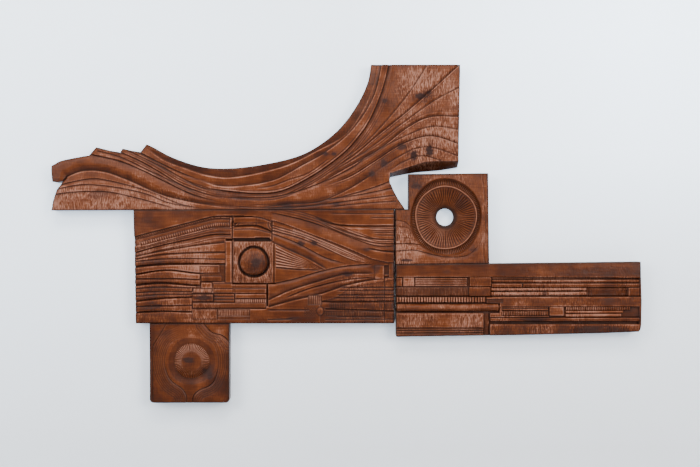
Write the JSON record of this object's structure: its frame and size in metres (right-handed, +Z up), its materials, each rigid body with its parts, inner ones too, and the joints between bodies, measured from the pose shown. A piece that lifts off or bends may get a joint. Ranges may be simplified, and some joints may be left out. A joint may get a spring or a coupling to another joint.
{
  "type": "carved wall panel",
  "caption": "Wide carved wall panel of butted wooden boards: a swept wing above a carved eye, a pierced fluted disc, a long stripwork plank and a hanging fluted block.",
  "frame": {"origin": "on the back of the centre board, against the wall, at the middle of the panel's width and height", "axes": "+X to the right along the wall, +Y into the wall, +Z up; the carved face looks along -Y"},
  "size_m": [1.774, 0.045, 1.016],
  "materials": {
    "wing_board": "stained softwood, carved, satin lacquer",
    "centre_board": "stained softwood, carved, satin lacquer",
    "rosette_board": "stained softwood, carved, satin lacquer",
    "long_plank": "stained softwood, carved, satin lacquer",
    "lower_block": "stained softwood, carved, satin lacquer"
  },
  "bodies": {
    "root": {"wing_board": "wing_board", "centre_board": "centre_board", "rosette_board": "rosette_board", "long_plank": "long_plank", "lower_block": "lower_block"}
  },
  "joints": []
}
